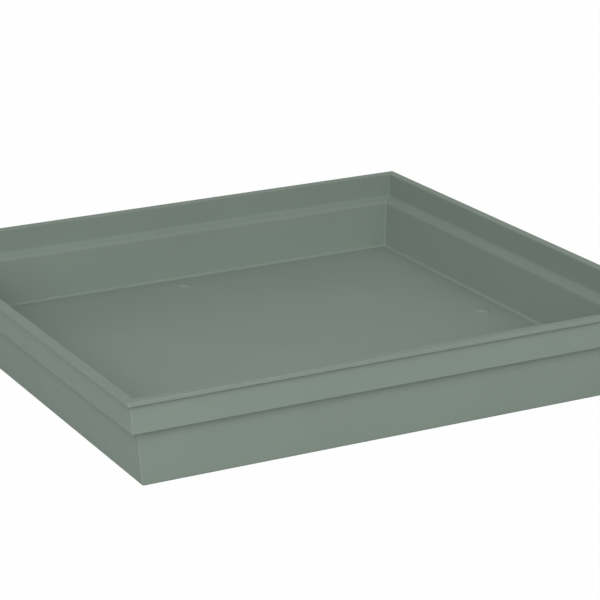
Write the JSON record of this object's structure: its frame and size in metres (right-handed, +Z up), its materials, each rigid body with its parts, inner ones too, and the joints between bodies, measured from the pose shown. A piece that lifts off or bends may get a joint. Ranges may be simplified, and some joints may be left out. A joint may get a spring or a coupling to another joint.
{
  "type": "square plant saucer",
  "caption": "Square plant saucer: a shallow open dish with tapered walls, a stepped band and a small lip, to catch water under a pot.",
  "frame": {"origin": "centre of the underside, on the surface that the saucer stands on", "axes": "+Z up out of the open dish; the four equal sides face along X and Y"},
  "size_m": [0.4, 0.4, 0.06],
  "materials": {
    "sage_plastic": "matte moulded polypropylene, sage green, coloured through"
  },
  "bodies": {
    "root": {"saucer": "sage_plastic"}
  },
  "joints": []
}
